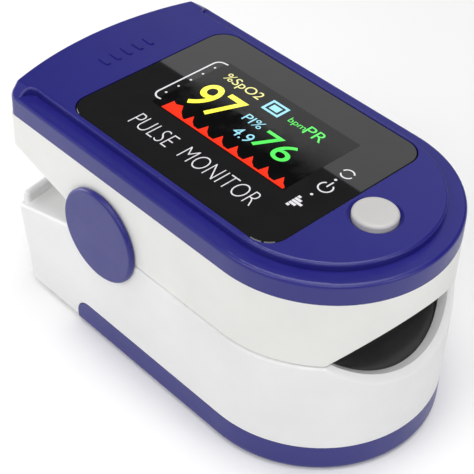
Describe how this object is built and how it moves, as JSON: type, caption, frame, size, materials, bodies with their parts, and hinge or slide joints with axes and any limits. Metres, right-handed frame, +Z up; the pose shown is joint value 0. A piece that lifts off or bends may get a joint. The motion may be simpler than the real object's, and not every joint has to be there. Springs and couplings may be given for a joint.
{
  "type": "fingertip pulse oximeter",
  "caption": "Clip-on fingertip pulse oximeter: sprung jaws with a padded finger channel, glossy display window, power button and sliding battery door.",
  "frame": {"origin": "middle of the footprint, on the flat underside of the battery door", "axes": "+X out of the finger opening, +Z up through the display, Y along the hinge line"},
  "size_m": [0.0615, 0.0358, 0.0333],
  "materials": {
    "white_lower_plastic": "satin moulded",
    "white_upper_plastic": "satin moulded",
    "blue_plastic": "satin gloss moulded",
    "grey_plastic": "satin moulded",
    "black_silicone": "matte silicone",
    "green_board": "solder mask",
    "black_plastic": "moulded",
    "connector_plastic": "moulded",
    "clear_window": "clear",
    "battery_wrap": "sleeved can",
    "spring_steel": "nickel plated",
    "screw_steel": "zinc plated",
    "flex_polyimide": "polyimide film",
    "window_gloss": "polished acrylic",
    "panel_glass": "display glass",
    "foam_black": "foam",
    "led_body": "clear epoxy"
  },
  "bodies": {
    "lower_jaw": {"lower_shell": "white_lower_plastic", "battery_tray": "white_lower_plastic", "lower_finger_pad": "black_silicone", "sensor_board": "green_board", "photodiode": "black_plastic", "sensor_window": "clear_window", "battery_left": "battery_wrap", "battery_right": "battery_wrap", "front_contact": "spring_steel", "rear_contacts": "spring_steel", "contact_springs": "spring_steel", "tray_screws": "screw_steel", "flex_cable": "flex_polyimide", "left_pivot_cap": "blue_plastic", "right_pivot_cap": "blue_plastic", "left_hinge_pin": "screw_steel", "right_hinge_pin": "screw_steel", "left_torsion_spring": "spring_steel", "right_torsion_spring": "spring_steel"},
    "battery_door": {"battery_door": "blue_plastic"},
    "upper_jaw": {"upper_shell": "white_upper_plastic", "top_cover": "blue_plastic", "display_window": "window_gloss", "display_gasket": "foam_black", "display_panel": "panel_glass", "display_frame": "black_plastic", "main_board": "green_board", "board_chips": "black_plastic", "cable_connector": "connector_plastic", "tact_switch": "black_plastic", "upper_finger_pad": "black_silicone", "emitter_board": "green_board", "emitter_led": "led_body", "emitter_window": "clear_window", "cover_screws": "screw_steel"},
    "power_button": {"power_button": "grey_plastic", "switch_plunger": "grey_plastic"}
  },
  "joints": [
    {"name": "jaw_hinge", "type": "hinge", "parent": "lower_jaw", "child": "upper_jaw", "pos_m": [-0.0092, 0, 0.0195], "axis": [0, -1, 0], "range_deg": [0, 25], "stiffness_Nm_per_rad": 0.05, "springref_deg": -68.75, "deforming": ["flex_cable", "left_torsion_spring", "right_torsion_spring"]},
    {"name": "button_press", "type": "slide", "parent": "upper_jaw", "child": "power_button", "axis": [0, 0, -1], "range_m": [0, 0.0004], "stiffness_N_per_m": 400, "springref_m": -0.0002},
    {"name": "door_slide", "type": "slide", "parent": "lower_jaw", "child": "battery_door", "axis": [1, 0, 0], "range_m": [0, 0.048]}
  ]
}
